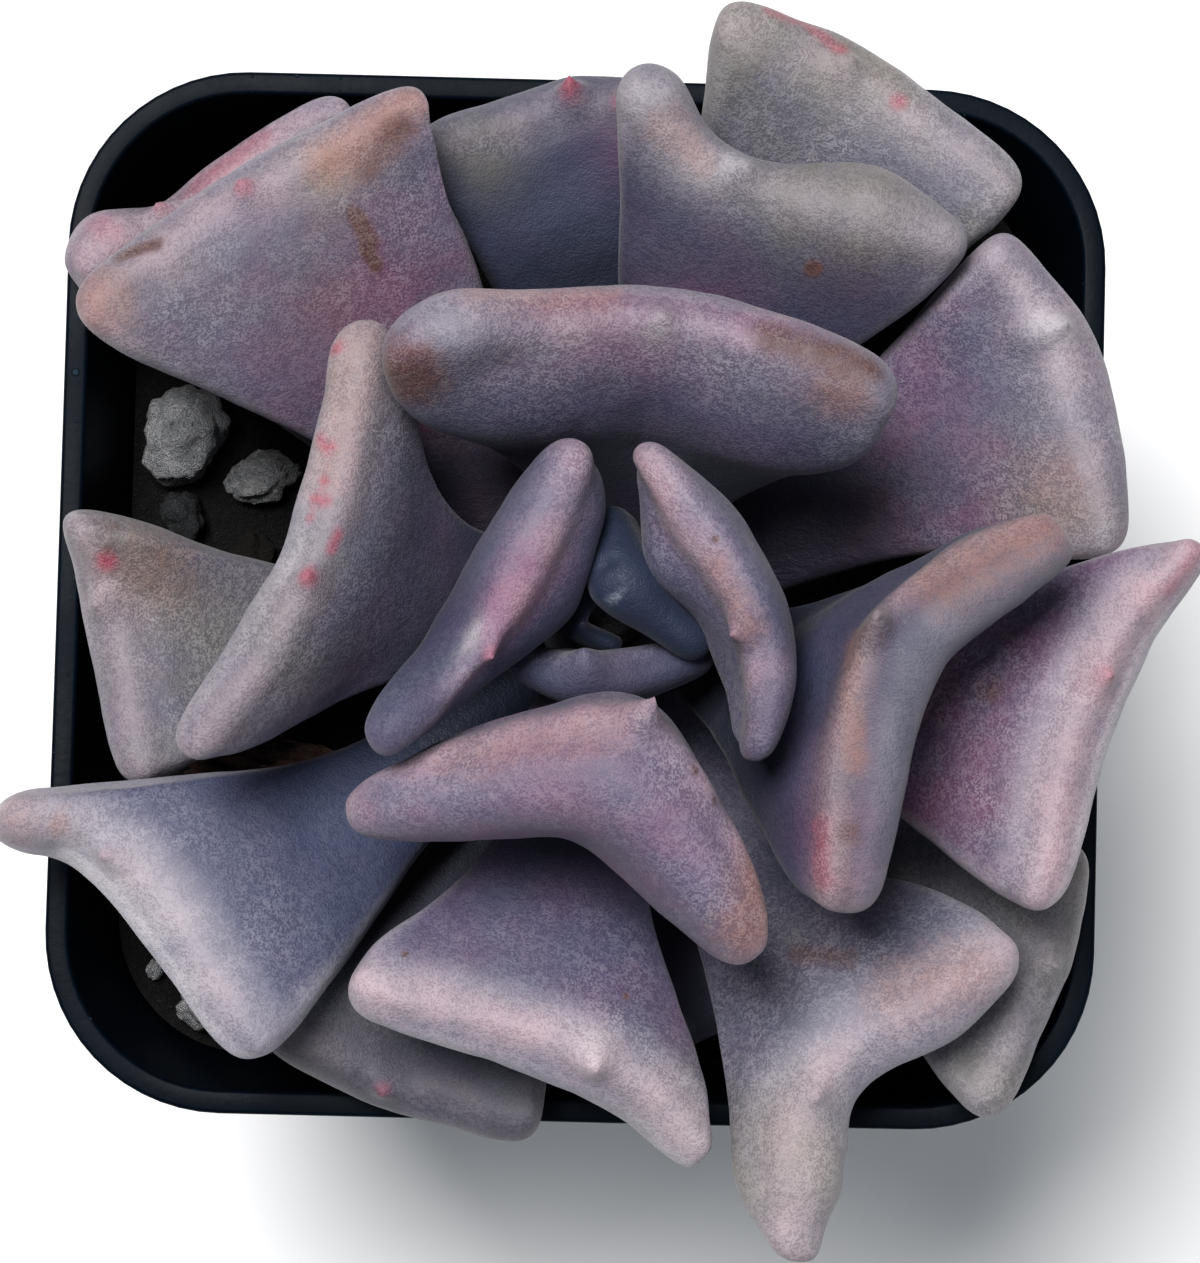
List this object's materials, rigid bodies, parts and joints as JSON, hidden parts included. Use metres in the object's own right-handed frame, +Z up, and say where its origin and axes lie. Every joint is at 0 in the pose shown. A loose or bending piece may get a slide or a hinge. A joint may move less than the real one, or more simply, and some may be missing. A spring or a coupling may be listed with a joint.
{
  "type": "potted echeveria",
  "caption": "Rosette succulent with thick grey-lavender fishtail leaves on a short stem, planted in dark soil with pale grains in a black square nursery pot.",
  "frame": {"origin": "centre of the pot's base, on the surface that the pot stands on", "axes": "+Z up the pot, +X to the right and +Y to the back of the plant as it is seen from above"},
  "size_m": [0.0935, 0.0994, 0.1077],
  "materials": {
    "pot_plastic": "satin",
    "peat": "rough",
    "stem_bark": "rough",
    "leaf_flesh": "matte with a mealy bloom",
    "perlite": "rough",
    "bark": "rough",
    "withered_leaf": "wrinkled",
    "fibre": "rough"
  },
  "bodies": {
    "root": {"pot": "pot_plastic", "soil": "peat", "stem": "stem_bark", "leaf_01": "leaf_flesh", "leaf_02": "leaf_flesh", "leaf_03": "leaf_flesh", "leaf_04": "leaf_flesh", "leaf_05": "leaf_flesh", "leaf_06": "leaf_flesh", "leaf_07": "leaf_flesh", "leaf_08": "leaf_flesh", "leaf_09": "leaf_flesh", "leaf_10": "leaf_flesh", "leaf_11": "leaf_flesh", "leaf_12": "leaf_flesh", "leaf_13": "leaf_flesh", "leaf_14": "leaf_flesh", "leaf_15": "leaf_flesh", "leaf_16": "leaf_flesh", "leaf_17": "leaf_flesh", "leaf_18": "leaf_flesh", "leaf_19": "leaf_flesh", "leaf_20": "leaf_flesh", "leaf_21": "leaf_flesh", "leaf_22": "leaf_flesh", "leaf_23": "leaf_flesh", "perlite_1": "perlite", "perlite_2": "perlite", "perlite_3": "perlite", "perlite_4": "perlite", "perlite_5": "perlite", "perlite_6": "perlite", "bark_chip": "bark", "dry_leaf": "withered_leaf", "root_fibre": "fibre"}
  },
  "joints": []
}
